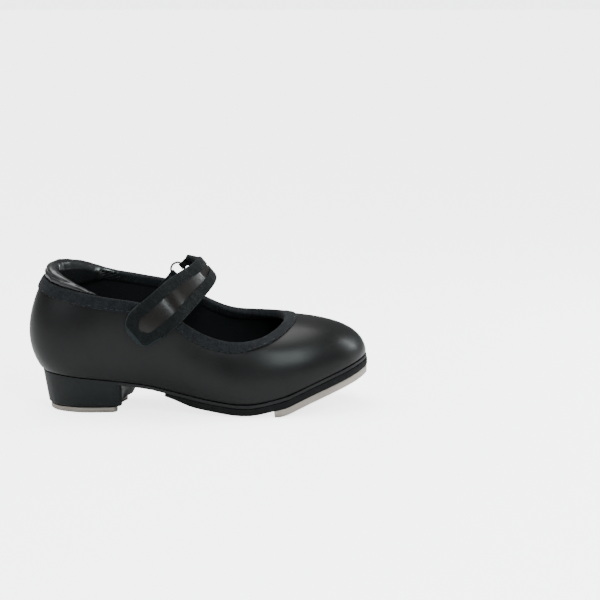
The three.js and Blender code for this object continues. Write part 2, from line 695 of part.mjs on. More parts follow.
// Points of the centre line as (along e, across w, y): the first half from the ring's grip, the
// second from the top edge of the outer quarter.
const FROM_RING = [
  [4.2, 0.2, 0],
  [7.2, 3.1, -3.6],
  [10.1, 6.4, -10.8],
  [11.8, 7.6, -19.6],
  [8.4, 8.2, -30],
];
const FROM_QUARTER = [
  [10, -1.6, 2.4],
  [1.2, -1.1, -3],
  [-7.5, -1.3, -5.5],
  [-14.5, -1.9, -6],
  [-21.3, -2.2, -6.5],
];
const placed = (origin) => ([e, w, y]) => (
  origin.clone().addScaledVector(E, e).addScaledVector(W, w).add(v3(0, y, 0))
);
const strapLine = new THREE.CatmullRomCurve3([
  ...FROM_RING.map(placed(ringGrip)),
  ...FROM_QUARTER.map(placed(outerEar)),
]);
const strapLength = strapLine.getLength();
const STRAP_TIP = 12; // length of the rounded end

function strapHalfWidth(s) {
  const neck = smooth(s, 3, 28);
  const broad = lerp(STRAP_TOP_WIDTH, STRAP_WIDTH, smooth(s, 26, 62));
  const half = lerp(STRAP_NECK, broad, neck) / 2;
  const left = Math.min((strapLength - s) / STRAP_TIP, 1);
  return half * (1 - (1 - left) ** 2.4) ** (1 / 2.4);
}

// The outer wall as seen from the side: the face and its normal at a given x and z.
const SIDE_ROWS = [0.15, 0.28, 0.4, 0.5, 0.6, 0.7, 0.8, 0.9, 1];
const SIDE_RUN_ON = [6, 14, 24];
const sideColumns = Array.from({ length: 16 }, (_, n) => n + 3);
const sideGrid = sideColumns.map((i) => {
  const { length } = wall[i];
  const reaches = [...SIDE_ROWS.map((k) => k * length), ...SIDE_RUN_ON.map((d) => length + d)];
  return reaches.map((s) => ({ at: wallPoint(i, s, 0), out: wallPoint(i, s, -1).sub(wallPoint(i, s, 0)) }));
});

function insideTriangle(x, z, [a, b, c]) {
  const area = (p, q, r) => (q.x - p.x) * (r.z - p.z) - (r.x - p.x) * (q.z - p.z);
  const here = { x, z };
  const whole = area(a.at, b.at, c.at);
  const ka = area(here, b.at, c.at) / whole;
  const kb = area(a.at, here, c.at) / whole;
  const kc = 1 - ka - kb;
  return Math.min(ka, kb, kc) < -1e-6 ? null : [ka, kb, kc];
}

function outerWallAt(x, z, stand) {
  for (let i = 0; i < sideGrid.length - 1; i += 1) {
    for (let j = 0; j < sideGrid[i].length - 1; j += 1) {
      const [a, b] = [sideGrid[i][j], sideGrid[i + 1][j]];
      const [c, d] = [sideGrid[i + 1][j + 1], sideGrid[i][j + 1]];
      for (const corners of [[a, b, c], [a, c, d]]) {
        const shares = insideTriangle(x, z, corners);
        if (shares) {
          const point = v3(0, 0, 0);
          const out = v3(0, 0, 0);
          corners.forEach((corner, n) => {
            point.addScaledVector(corner.at, shares[n]);
            out.addScaledVector(corner.out, shares[n]);
          });
          return point.addScaledVector(out.normalize(), stand);
        }
      }
    }
  }
  return null;
}

// A point of the strap: s along it, a across it (in mm, + towards the toe), n out from its neutral
// surface. Over the quarter it follows the wall.
function strapPoint(s, a, n) {
  const t = Math.min(s / strapLength, 1);
  const centre = strapLine.getPointAt(t);
  const tangent = strapLine.getTangentAt(t);
  const wide = W.clone().addScaledVector(tangent, -W.dot(tangent)).normalize();
  const normal = tangent.clone().cross(wide).normalize();
  const flat = centre.clone().addScaledVector(wide, a);
  const free = flat.clone().addScaledVector(normal, n);
  const hug = smooth(t, 0.6, 0.74);
  const base = hug > 0 ? outerWallAt(flat.x, flat.z, STRAP_STAND + n) : null;
  return base ? free.lerp(base, hug) : free;
}

const STRAP_STEPS = 24;
const strapStops = Array.from({ length: STRAP_STEPS + 1 }, (_, k) => {
  const straight = strapLength - STRAP_TIP;
  const split = STRAP_STEPS - 7;
  if (k <= split) {
    return (straight * k) / split;
  }
  return straight + (STRAP_TIP - 0.15) * Math.sin(((Math.PI / 2) * (k - split)) / (STRAP_STEPS - split));
});
const ACROSS = [-1, -0.5, 0, 0.5, 1];

function strapSkin(low, high) {
  const face = (n) => strapStops.map((s) => {
    const short = s - 0.6 * Math.max(0, 1 - (strapLength - s) / STRAP_TIP);
    return ACROSS.map((a) => strapPoint(short, a * Math.max(strapHalfWidth(s) - GAP, 0.3), n));
  });
  return shell(face(high), face(low), false);
}

// The ribbon folded round the strap's edge, from the neck round the tip and back to the neck.
const HEM_SHARE = 1 - HEM / STRAP_BINDING_WIDTH;
const BINDING_MEETS = 1.1; // its two runs stay this far from the strap's middle at the neck

function strapBinding() {
  const edges = [...strapStops.map((s) => [s, -1]), ...strapStops.slice(0, -1).reverse().map((s) => [s, 1])];
  const tipShare = (s) => Math.max(0, 1 - (strapLength - s) / STRAP_TIP);
  const edgePoint = ([s, side], inward, n) => {
    const half = strapHalfWidth(s);
    const inner = Math.min(Math.max(half - STRAP_BINDING_WIDTH, BINDING_MEETS), half);
    const back = inward * STRAP_BINDING_WIDTH * tipShare(s) ** 1.5;
    return strapPoint(s - back, side * lerp(half, inner, inward), n);
  };
  const rings = edges.map((edge) => {
    const top = STRAP_SKIN;
    const low = STRAP_HALF + GAP;
    const out = (n, d) => {
      const at = edgePoint(edge, 0, n);
      const away = at.clone().sub(edgePoint(edge, tipShare(edge[0]) > 0.9 ? 0.5 : 0.3, n));
      return at.addScaledVector(away.normalize(), d);
    };
    return [
      edgePoint(edge, 1, top),
      edgePoint(edge, HEM_SHARE, top),
      edgePoint(edge, 0.5, top),
      out(top, 0),
      out(top * 0.5, GAP + BINDING),
      out(-top * 0.5, GAP + BINDING),
      out(-top, 0),
      edgePoint(edge, 0.5, -top),
      edgePoint(edge, HEM_SHARE, -top),
      edgePoint(edge, 1, -top),
      edgePoint(edge, 1, -low),
      edgePoint(edge, HEM_SHARE, -low),
      edgePoint(edge, 0.5, -low),
      out(-low, 0),
      out(-low * 0.5, GAP),
      out(low * 0.5, GAP),
      out(low, 0),
      edgePoint(edge, 0.5, low),
      edgePoint(edge, HEM_SHARE, low),
      edgePoint(edge, 1, low),
    ];
  });
  const flat = [[7, 2], [6, 2], [3, 2], [0, 2], [-1, 1], [-1, -1], [0, -2], [3, -2], [6, -2], [7, -2],
    [7, -1.4], [6, -1.4], [3, -1.4], [0.2, -1.4], [-0.4, -0.8], [-0.4, 0.8], [0.2, 1.4], [3, 1.4],
    [6, 1.4], [7, 1.4]];
  return sweepRings(rings, fillRing(flat));
}

// A pad with rounded corners: a grid of points at(a, b, n) over a rounded rectangle.
function padShell(at, halfA, halfB, low, high) {
  const steps = [-1, -0.97, -0.85, -0.6, -0.2, 0.2, 0.6, 0.85, 0.97, 1];
  const face = (n) => steps.map((k) => {
    const half = halfB * Math.max((1 - Math.abs(k) ** 3.2) ** (1 / 3.2), 0.12);
    return [-1, -0.5, 0, 0.5, 1].map((b) => at(k * halfA, b * half, n));
  });
  return shell(face(high), face(low), false);
}

const HOOK_CENTRE = strapLength - 11; // along the strap
const LOOP_SHIFT = { e: -2.4, w: 3.4 };

function loopPad() {
  const middle = strapLine.getPointAt((HOOK_CENTRE + 2) / strapLength);
  const at = (a, b, n) => {
    const point = middle.clone().addScaledVector(E, a + LOOP_SHIFT.e).addScaledVector(W, b + LOOP_SHIFT.w);
    return outerWallAt(point.x, point.z, n);
  };
  return padShell(at, 6.2, 7.4, GAP, GAP + PAD);
}

function hookPad() {
  const at = (a, b, n) => strapPoint(HOOK_CENTRE + a, b, n);
  return padShell(at, 7.6, 7, -STRAP_SKIN - GAP - PAD, -STRAP_SKIN - GAP);
}

function strapRing() {
  return new THREE.TorusGeometry(RING_RADIUS, RING_WIRE, 6, 22).rotateX(Math.PI / 2)
    .translate(ringCentre.x, ringCentre.y, ringCentre.z);
}

// A fabric loop round the ring's wire with a tail, as a section in the plane across the wire:
// (away from the ring, y), drawn out along the wire.
function wireLoop(angle, tail) {
  const outer = LOOP_BORE + LOOP_WALL;
  const shape = new THREE.Shape();
  const first = Math.asin(tail[0][1] / outer);
  const last = Math.asin(tail[tail.length - 1][1] / outer);
  shape.absarc(0, 0, outer, first, last + Math.PI * 2, last > first);
  tail.slice().reverse().forEach(([out, y]) => shape.lineTo(out, y));
  shape.closePath();
  const hole = new THREE.Path();
  hole.absarc(0, 0, LOOP_BORE, 0, Math.PI * 2, true);
  shape.holes.push(hole);
  const options = { depth: LOOP_WIDTH, bevelEnabled: false, curveSegments: 8 };
  const body = new THREE.ExtrudeGeometry(shape, options).translate(0, 0, -LOOP_WIDTH / 2);
  const away = v3(Math.cos(angle), 0, Math.sin(angle));
  const side = v3(0, 1, 0);
  const frame = new THREE.Matrix4().makeBasis(away, side, away.clone().cross(side));
  frame.setPosition(ringCentre.clone().addScaledVector(away, RING_RADIUS));
  return body.applyMatrix4(frame);
}

function ringTab() {
  const inside = -3.3; // the tail lies against the lining
  return wireLoop(TAB_ANGLE, [
    [1.7, -1.2],
    [3.4, inside],
    [TAB_LENGTH, inside - 0.4],
    [TAB_LENGTH, inside - 1.2],
    [3, inside - 0.9],
    [0.9, -1.7],
  ]);
}

function strapLoop() {
  return wireLoop(SLOPE, [
    [1.8, 0.9],
    [2.2, 0.9],
    [2.2, -0.9],
    [1.8, -0.9],
  ]);
}

// ---------------------------------------------------------------- colours and assembly
const BLACK_PU = { color: 0x17181a, roughness: 0.38, metalness: 0 };
const BLACK_TAPE = { color: 0x0c0d0e, roughness: 0.85, metalness: 0 };
const BLACK_CLOTH = { color: 0x0a0b0c, roughness: 0.95, metalness: 0 };
const BLACK_PLASTIC = { color: 0x141516, roughness: 0.45, metalness: 0 };
const SOLE_BLACK = { color: 0x1a1a1a, roughness: 0.7, metalness: 0 };
const ALUMINIUM = { color: 0xb9b4ae, roughness: 0.38, metalness: 1 };
const STEEL = { color: 0xc4c6c8, roughness: 0.25, metalness: 1 };
const BOARD = { color: 0x6d5a44, roughness: 0.9, metalness: 0 };

const shoe = new THREE.Group();
const group = new THREE.Group();
group.add(shoe);

function add(name, geometry, look) {
  const mesh = new THREE.Mesh(geometry, new THREE.MeshStandardMaterial(look));
  mesh.name = name;
  shoe.add(mesh);
}

add('upper', lastedLayer(0, UPPER), BLACK_PU);
add('upper_lining', lastedLayer(LINING_DEPTH, LINING), BLACK_CLOTH);
add('heel_counter', stiffener(-8, 8, 9), BOARD);
add('toe_puff', stiffener(19, 29, 8), BOARD);
add('topline_binding', toplineBinding(), BLACK_TAPE);
add('heel_collar', heelCollar(), BLACK_PU);
add('insole_board', insoleBoard(), BOARD);
add('shank', shank(), STEEL);
add('bottom_filler', bottomFiller(), BOARD);
add('sock_liner', sockLiner(), BLACK_CLOTH);
add('runner_sole', runnerSole(), SOLE_BLACK);
add('half_sole', halfSole(), SOLE_BLACK);
add('heel_block', heelBlock(), BLACK_PLASTIC);
add('heel_tap', heelTap(), ALUMINIUM);
add('toe_tap', toeTap(), ALUMINIUM);
HEEL_SCREW_SPOTS.forEach(([x, y], n) => {
  add(`heel_tap_screw_${n + 1}`, fastener(SCREW, 0, false).translate(x, y, GAP), STEEL);
});
TOE_SCREW_SPOTS.forEach((spot, n) => {
  const screw = fastener(SCREW, 0, false).translate(0, 0, GAP);
  add(`toe_tap_screw_${n + 1}`, placeUnderTap(screw, spot), STEEL);
});
NAIL_SPOTS.forEach((spot, n) => {
  add(`heel_nail_${n + 1}`, seatFastener(NAIL, spot, 0, false), STEEL);
});
add('heel_seat_screw', seatFastener(SEAT_SCREW, SEAT_SCREW_SPOT, 0, false), STEEL);
add('loop_pad', loopPad(), BLACK_CLOTH);
add('ring_tab', ringTab(), BLACK_TAPE);
add('strap_ring', strapRing(), STEEL);
add('strap_face', strapSkin(GAP / 2, STRAP_HALF), BLACK_PU);
add('strap_backing', strapSkin(-STRAP_HALF, -GAP / 2), BLACK_CLOTH);
add('strap_binding', strapBinding(), BLACK_TAPE);
add('strap_loop', strapLoop(), BLACK_TAPE);
add('hook_pad', hookPad(), BLACK_CLOTH);

// The origin is the middle of the shoe's box in plan, on the floor.
const box = new THREE.Box3().setFromObject(shoe);
const middle = box.getCenter(v3());
shoe.position.set(-middle.x, -middle.y, -box.min.z);

export default group;
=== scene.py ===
# %% [markdown]
# # A child's tap shoe
# The shoe comes in as a set of plain solids with its real sizes: an upper, a strap, a heel, soles and
# two metal taps. This script gives every piece that can be seen its finished surface. Soft pieces
# are rebuilt as smooth meshes from their solids, metal and plastic pieces get soft edges, and every
# piece gets a material made from nodes. All lengths are in metres.

import json
import math

import bmesh
import bpy
from mathutils import Matrix, Vector
from mathutils.bvhtree import BVHTree
from mathutils.geometry import convex_hull_2d


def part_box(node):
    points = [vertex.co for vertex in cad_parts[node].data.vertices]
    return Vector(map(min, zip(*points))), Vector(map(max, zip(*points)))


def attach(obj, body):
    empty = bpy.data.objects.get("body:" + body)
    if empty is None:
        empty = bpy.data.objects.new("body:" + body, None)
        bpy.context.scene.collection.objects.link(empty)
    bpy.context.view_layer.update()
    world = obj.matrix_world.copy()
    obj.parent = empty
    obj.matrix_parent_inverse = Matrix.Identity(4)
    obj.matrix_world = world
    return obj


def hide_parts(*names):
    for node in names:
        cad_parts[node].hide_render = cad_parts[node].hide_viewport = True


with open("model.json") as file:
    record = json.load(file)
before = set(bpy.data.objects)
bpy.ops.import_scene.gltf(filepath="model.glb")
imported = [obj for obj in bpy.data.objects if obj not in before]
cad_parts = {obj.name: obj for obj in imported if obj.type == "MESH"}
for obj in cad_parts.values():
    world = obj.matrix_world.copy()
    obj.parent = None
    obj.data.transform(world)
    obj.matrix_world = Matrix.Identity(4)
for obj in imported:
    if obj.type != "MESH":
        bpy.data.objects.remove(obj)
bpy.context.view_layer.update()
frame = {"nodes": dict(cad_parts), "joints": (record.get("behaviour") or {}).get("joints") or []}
nodes = frame["nodes"]
mm = 0.001

# %% [markdown]
# ## Camera
# A long lens from nearly a metre away keeps the shoe's proportions as a catalogue shows them. The
# camera stands on the outer side of the foot, a little above the shoe, and looks slightly down at it.

# %% Camera
CAMERA_PLACE = Vector((20.0, -882.9, 225.0)) * mm
CAMERA_PITCH = math.radians(10.6)
CAMERA_YAW = math.radians(2.4)
LENS = 96.0  # mm, for a 36 mm wide sensor

camera = bpy.data.objects.new("camera", bpy.data.cameras.new("camera"))
camera.data.lens = LENS
camera.data.sensor_width = 36.0
camera.location = CAMERA_PLACE
camera.rotation_euler = (math.radians(90) - CAMERA_PITCH, 0, -CAMERA_YAW)
bpy.context.collection.objects.link(camera)
bpy.context.scene.camera = camera
print("camera at", tuple(camera.location))

# %% [markdown]
# ## Small helpers
# A solid arrives as loose triangles. Before it can be smoothed, its corners have to be merged and
# its triangles paired into four-sided faces, because Subdivision Surface flows along rows of quads.
# Sharp edges get a crease, so that a thin edge keeps its place while the broad faces turn smooth.

# %% Mesh helpers
def merged_copy(node_name):
    bm = bmesh.new()
    bm.from_mesh(nodes[node_name].data)
    bmesh.ops.remove_doubles(bm, verts=bm.verts, dist=0.002 * mm)
    return bm


def pair_triangles(bm):
    bmesh.ops.join_triangles(
        bm, faces=bm.faces,
        angle_face_threshold=math.radians(60), angle_shape_threshold=math.radians(80),
    )


def crease_sharp_edges(bm, angle, amount):
    layer = bm.edges.layers.float.get("crease_edge") or bm.edges.layers.float.new("crease_edge")
    for edge in bm.edges:
        if len(edge.link_faces) == 2 and edge.calc_face_angle(0) > angle:
            edge[layer] = amount


def finish_piece(bm, name, body, replaces=()):
    for face in bm.faces:
        face.smooth = True
    mesh = bpy.data.meshes.new(name)
    bm.to_mesh(mesh)
    bm.free()
    piece = bpy.data.objects.new(name, mesh)
    bpy.context.collection.objects.link(piece)
    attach(piece, body)
    if replaces:
        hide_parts(*replaces)
    return piece


def subdivide(piece, levels):
    modifier = piece.modifiers.new("Subdivision", "SUBSURF")
    modifier.levels = levels
    modifier.render_levels = levels
    return piece


def bake_modifiers(piece):
    bpy.context.view_layer.update()
    evaluated = piece.evaluated_get(bpy.context.evaluated_depsgraph_get())
    mesh = bpy.data.meshes.new_from_object(evaluated)
    piece.modifiers.clear()
    piece.data = mesh
    return piece


def smooth_copy(node_name, piece_name, body, levels, crease, angle=50):
    bm = merged_copy(node_name)
    pair_triangles(bm)
    crease_sharp_edges(bm, math.radians(angle), crease)
    piece = finish_piece(bm, piece_name, body, [node_name])
    return subdivide(piece, levels)


# %% [markdown]
# ## Node helpers
# Materials are written as small graphs. `Nodes` adds nodes and joins them, so that each material
# reads from its coordinates on the left to its shader on the right.

# %% Node helper
class Nodes:
    def __init__(self, tree):
        self.tree = tree

    def add(self, kind):
        return self.tree.nodes.new(kind)

    def link(self, source, target):
        self.tree.links.new(source, target)


def set_inputs(node, **values):
    for name, value in values.items():
        node.inputs[name.replace("_", " ")].default_value = value


def noise(n, vector, scale, detail, roughness):
    node = n.add("ShaderNodeTexNoise")
    n.link(vector, node.inputs["Vector"])
    set_inputs(node, Scale=scale, Detail=detail, Roughness=roughness)
    return node.outputs["Fac"]


def feed(n, socket, value):
    """Gives an input a fixed value, or joins it to another node's output."""
    if isinstance(value, bpy.types.NodeSocket):
        n.link(value, socket)
    else:
        socket.default_value = value


def math_node(n, operation, a, b=0.0, c=0.0):
    node = n.add("ShaderNodeMath")
    node.operation = operation
    for socket, value in zip(node.inputs, (a, b, c)):
        feed(n, socket, value)
    return node.outputs[0]


def mix_colours(n, share, a, b):
    node = n.add("ShaderNodeMix")
    node.data_type = "RGBA"
    n.link(share, node.inputs["Factor"])
    feed(n, node.inputs["A"], a)
    feed(n, node.inputs["B"], b)
    return node.outputs["Result"]


def remap(n, value, low, high, to_low, to_high):
    node = n.add("ShaderNodeMapRange")
    n.link(value, node.inputs["Value"])
    set_inputs(node, From_Min=low, From_Max=high, To_Min=to_low, To_Max=to_high)
    return node.outputs["Result"]


def new_group(name, inputs, outputs):
    tree = bpy.data.node_groups.new(name, "ShaderNodeTree")
    for socket_name, kind, default in inputs:
        socket = tree.interface.new_socket(socket_name, in_out="INPUT", socket_type=kind)
        if default is not None:
            socket.default_value = default
    for socket_name, kind in outputs:
        tree.interface.new_socket(socket_name, in_out="OUTPUT", socket_type=kind)
    n = Nodes(tree)
    return tree, n, n.add("NodeGroupInput").outputs, n.add("NodeGroupOutput").inputs


# %% [markdown]
# ## Shared surface effects
# Three effects come back on several materials, so each is a node group. *Skin grain* is the fine
# pebble of coated leather cloth, with a slow waviness of the skin under it. *Ribbed weave* is the
# tape: rows of thick cross threads that follow the tape's own length, so it reads the piece's UV
# map. *Handling marks* are faint scuffs and dust that change colour and gloss a little.

# %% Skin grain group
FLOAT, VECTOR, COLOR = "NodeSocketFloat", "NodeSocketVector", "NodeSocketColor"

grain_tree, n, given, out = new_group(
    "skin_grain",
    [("Vector", VECTOR, None), ("Grain Size", FLOAT, 1600.0), ("Wave Size", FLOAT, 60.0)],
    [("Height", FLOAT), ("Mottle", FLOAT)],
)
cells = n.add("ShaderNodeTexVoronoi")
cells.feature = "SMOOTH_F1"
n.link(given["Vector"], cells.inputs["Vector"])
n.link(given["Grain Size"], cells.inputs["Scale"])
slow = n.add("ShaderNodeTexNoise")
n.link(given["Vector"], slow.inputs["Vector"])
n.link(given["Wave Size"], slow.inputs["Scale"])
slow.inputs["Detail"].default_value = 1.5
pebble = math_node(n, "MULTIPLY", cells.outputs["Distance"], 0.16)
n.link(math_node(n, "ADD", pebble, slow.outputs["Fac"]), out["Height"])
n.link(slow.outputs["Fac"], out["Mottle"])
print("group", grain_tree.name)

# %% Ribbed weave group
weave_tree, n, given, out = new_group(
    "ribbed_weave",
    [("UV", VECTOR, None), ("Rib Pitch", FLOAT, 0.0009), ("Thread Pitch", FLOAT, 0.0006)],
    [("Height", FLOAT), ("Fleck", FLOAT)],
)
split = n.add("ShaderNodeSeparateXYZ")
n.link(given["UV"], split.inputs[0])
wobble = n.add("ShaderNodeTexNoise")
n.link(given["UV"], wobble.inputs["Vector"])
wobble.inputs["Scale"].default_value = 700.0
wobble.inputs["Detail"].default_value = 1.0


def ridge(value, pitch, shift):
    turns = math_node(n, "DIVIDE", value, pitch)
    turns = math_node(n, "ADD", turns, shift)
    return math_node(n, "SINE", math_node(n, "MULTIPLY", turns, 2 * math.pi))


ribs = ridge(split.outputs["X"], given["Rib Pitch"], wobble.outputs["Fac"])
threads = ridge(split.outputs["Y"], given["Thread Pitch"], math_node(n, "MULTIPLY", ribs, 0.25))
height = math_node(n, "MULTIPLY_ADD", threads, 0.3, ribs)
n.link(remap(n, height, -1.3, 1.3, 0.0, 1.0), out["Height"])
fine = noise(n, given["UV"], 1100.0, 2.0, 0.6)
broad = noise(n, given["UV"], 260.0, 2.0, 0.6)
fleck = math_node(n, "MULTIPLY_ADD", broad, 0.5, math_node(n, "MULTIPLY", fine, 0.5))
n.link(remap(n, fleck, 0.42, 0.62, 0.0, 1.0), out["Fleck"])
print("group", weave_tree.name)

# %% Handling marks group
marks_tree, n, given, out = new_group(
    "handling_marks",
    [("Vector", VECTOR, None), ("Clean", COLOR, (0.02, 0.02, 0.02, 1)),
     ("Dusty", COLOR, (0.05, 0.05, 0.05, 1)), ("Amount", FLOAT, 0.3)],
    [("Color", COLOR), ("Mask", FLOAT)],
)
patches = remap(n, noise(n, given["Vector"], 45.0, 4.0, 0.6), 0.45, 0.75, 0.0, 1.0)
specks = remap(n, noise(n, given["Vector"], 900.0, 3.0, 0.7), 0.6, 0.8, 0.0, 1.0)
mask = math_node(n, "MULTIPLY_ADD", specks, 0.35, patches)
mask = math_node(n, "MULTIPLY", mask, given["Amount"])
n.link(mix_colours(n, mask, given["Clean"], given["Dusty"]), out["Color"])
n.link(mask, out["Mask"])
print("group", marks_tree.name)

# %% Material starter
def start_material(name):
    material = bpy.data.materials.new(name)
    material.use_nodes = True
    material.node_tree.nodes.clear()
    n = Nodes(material.node_tree)
    shader = n.add("ShaderNodeBsdfPrincipled")
    output = n.add("ShaderNodeOutputMaterial")
    n.link(shader.outputs[0], output.inputs["Surface"])
    place = n.add("ShaderNodeTexCoord")
    return material, n, shader, place


def use_group(n, tree, links, **numbers):
    node = n.add("ShaderNodeGroup")
    node.node_tree = tree
    for name, source in links.items():
        n.link(source, node.inputs[name])
    set_inputs(node, **numbers)
    return node


def bump(n, shader, height, strength, distance):
    node = n.add("ShaderNodeBump")
    set_inputs(node, Strength=strength, Distance=distance)
    n.link(height, node.inputs["Height"])
    n.link(node.outputs["Normal"], shader.inputs["Normal"])


def shade(colour, factor):
    """A colour made darker or lighter, with the fourth number that Blender's colours have."""
    return (*[part * factor for part in colour], 1)


def marked_colour(n, shader, vector, clean, dust, amount):
    """Colours a material cleanly, with marks that are dust times as bright."""
    marks = use_group(
        n, marks_tree, {"Vector": vector}, Clean=shade(clean, 1), Dusty=shade(clean, dust), Amount=amount
    )
    n.link(marks.outputs["Color"], shader.inputs["Base Color"])
    return marks.outputs["Mask"]


# %% [markdown]
# ## Coated skin
# The upper and the strap are cut from cloth with a smooth black coating. It is satin, not a mirror:
# a broad soft highlight over a very fine pebble. A thin clear coat gives the second, sharper gloss.

# %% Coated skin material
PEBBLES = 1500.0  # grain cells in one metre


def coated_skin(
    name, roughness, coat, wave_height, clean=(0.008, 0.0085, 0.009), wave=55.0, specular=0.25
):
    material, n, shader, place = start_material(name)
    where = place.outputs["Object"]
    grain = use_group(n, grain_tree, {"Vector": where}, Grain_Size=PEBBLES, Wave_Size=wave)
    mask = marked_colour(n, shader, where, clean, 2.1, 0.3)
    rough = remap(n, grain.outputs["Mottle"], 0.3, 0.7, roughness - 0.04, roughness + 0.05)
    n.link(math_node(n, "MULTIPLY_ADD", mask, 0.12, rough), shader.inputs["Roughness"])
    set_inputs(shader, Coat_Weight=coat, Coat_Roughness=0.22, Specular_IOR_Level=specular)
    bump(n, shader, grain.outputs["Height"], 0.35, wave_height)
    return material


upper_skin = coated_skin(
    "upper_coated_skin", 0.38, 0.03, 0.35 * mm, clean=(0.0045, 0.0044, 0.0044), specular=0.17
)
strap_skin = coated_skin(
    "strap_coated_skin", 0.3, 0.3, 0.4 * mm, clean=(0.0062, 0.005, 0.0043), wave=110.0, specular=0.12
)
collar_skin = coated_skin("collar_coated_skin", 0.3, 0.35, 0.05 * mm, wave=140.0)
print("skins", upper_skin.name, strap_skin.name, collar_skin.name)

# %% [markdown]
# ## Tape, lining and pile
# The tape is a matt ribbed ribbon. Its ribs run across it, so its material follows a UV map whose
# first number is the distance along the tape. The lining is a plain knit, and the pile of the
# fastening is a felt of tiny loops. Sheen gives cloth the pale look that loose fibres make, and the
# tape's very edge is painted paler, a painted highlight of sheen along its rim.

# %% Cloth materials
def ribbed_tape(name, clean, pitch, rim):
    material, n, shader, place = start_material(name)
    uv = place.outputs["UV"]
    weave = use_group(n, weave_tree, {"UV": uv}, Rib_Pitch=pitch, Thread_Pitch=pitch * 0.7)
    # The colour follows the ribs' height: their tops are painted lighter and the hollows between them
    # darker, painted shade in the hollows, mixed with random flecks of tone.
    ribs = math_node(n, "MULTIPLY", weave.outputs["Height"], 0.45)
    share = math_node(n, "MULTIPLY_ADD", weave.outputs["Fleck"], 0.55, ribs)
    threads = mix_colours(n, share, shade(clean, 0.3), shade(clean, 2.2))
    across = n.add("ShaderNodeSeparateXYZ")
    n.link(uv, across.inputs[0])
    # The tape's very edge is painted paler: a painted highlight, the sheen along its rim.
    wear_and_edge_sheen = remap(n, across.outputs["Y"], 0.15 * mm, 0.5 * mm, rim, 0.0)
    n.link(mix_colours(n, wear_and_edge_sheen, threads, shade(clean, 9.0)), shader.inputs["Base Color"])
    set_inputs(shader, Roughness=0.82, Sheen_Weight=0.05, Sheen_Roughness=0.4, Specular_IOR_Level=0.12)
    bump(n, shader, weave.outputs["Height"], 0.8, 0.2 * mm)
    return material


def knit(name, clean, scale, sheen):
    material, n, shader, place = start_material(name)
    marked_colour(n, shader, place.outputs["Object"], clean, 1.8, 0.5)
    fibres = noise(n, place.outputs["Object"], scale, 3.0, 0.7)
    set_inputs(shader, Roughness=0.95, Sheen_Weight=sheen, Specular_IOR_Level=0.15)
    bump(n, shader, fibres, 0.7, 0.25 * mm)
    return material


tape = ribbed_tape("edge_tape", (0.0058, 0.0066, 0.0078), 0.95 * mm, 0.12)
strap_tape = ribbed_tape("strap_tape", (0.0026, 0.0036, 0.0039), 0.8 * mm, 0.5)
lining = knit("lining_knit", (0.0045, 0.005, 0.0055), 1500.0, 0.02)
pile = knit("fastening_pile", (0.007, 0.008, 0.0085), 2600.0, 0.12)
thread = knit("sewing_thread", (0.016, 0.017, 0.018), 4000.0, 0.2)
print("cloths", tape.name, strap_tape.name, lining.name, pile.name, thread.name)

# %% [markdown]
# ## Sole, heel and board
# The soles are hard black rubber with a ground edge: dull and slightly uneven. The heel is moulded
# plastic with a satin mould texture. The boards inside are pressed fibre.

# %% Sole, heel and board materials
def hard_black(name, clean, roughness, grain, height, amount, specular):
    material, n, shader, place = start_material(name)
    mask = marked_colour(n, shader, place.outputs["Object"], clean, 3, amount)
    base = noise(n, place.outputs["Object"], grain, 4.0, 0.65)
    rough = remap(n, base, 0.3, 0.7, roughness - 0.05, roughness + 0.08)
    n.link(math_node(n, "MULTIPLY_ADD", mask, 0.15, rough), shader.inputs["Roughness"])
    set_inputs(shader, Specular_IOR_Level=specular)
    bump(n, shader, base, 0.5, height)
    return material


def fibre(name, dark, pale, scale):
    material, n, shader, place = start_material(name)
    flecks = noise(n, place.outputs["Object"], scale, 5.0, 0.7)
    share = remap(n, flecks, 0.35, 0.7, 0.0, 1.0)
    n.link(mix_colours(n, share, shade(dark, 1), shade(pale, 1)), shader.inputs["Base Color"])
    set_inputs(shader, Roughness=0.9)
    bump(n, shader, flecks, 0.4, 0.2 * mm)
    return material


runner_rubber = hard_black("outsole_rubber", (0.006, 0.006, 0.0062), 0.55, 900.0, 0.12 * mm, 0.3, 0.25)
half_rubber = hard_black("half_sole_rubber", (0.0045, 0.0045, 0.0046), 0.75, 420.0, 0.5 * mm, 0.4, 0.12)
heel_plastic = hard_black("heel_plastic", (0.0065, 0.0075, 0.0075), 0.5, 1800.0, 0.05 * mm, 0.2, 0.16)
board = fibre("pressed_board", (0.26, 0.18, 0.1), (0.46, 0.36, 0.24), 500.0)
cork = fibre("cork_filler", (0.14, 0.08, 0.04), (0.38, 0.25, 0.14), 350.0)
print("hard materials", runner_rubber.name, half_rubber.name, heel_plastic.name)

# %% [markdown]
# ## Metals
# The taps are cast and then ground: the metal is warm grey and satin, with fine lines left by the
# belt. Lines come from noise that is squeezed across them, so it stays long the other way. The ring
# is plated wire and the screws are plated steel.

# %% Metal materials
def metal(name, colour, roughness, stretch, line_scale, line_height, wear_and_edge_sheen=0.35):
    material, n, shader, place = start_material(name)
    scaling = n.add("ShaderNodeMapping")
    n.link(place.outputs["Object"], scaling.inputs["Vector"])
    set_inputs(scaling, Scale=stretch)
    lines = noise(n, scaling.outputs["Vector"], line_scale, 3.0, 0.6)
    mask = marked_colour(n, shader, place.outputs["Object"], colour, 0.62, wear_and_edge_sheen)
    rough = remap(n, lines, 0.3, 0.7, roughness - 0.07, roughness + 0.09)
    n.link(math_node(n, "MULTIPLY_ADD", mask, 0.15, rough), shader.inputs["Roughness"])
    set_inputs(shader, Metallic=1.0)
    bump(n, shader, lines, 0.35, line_height)
    return material


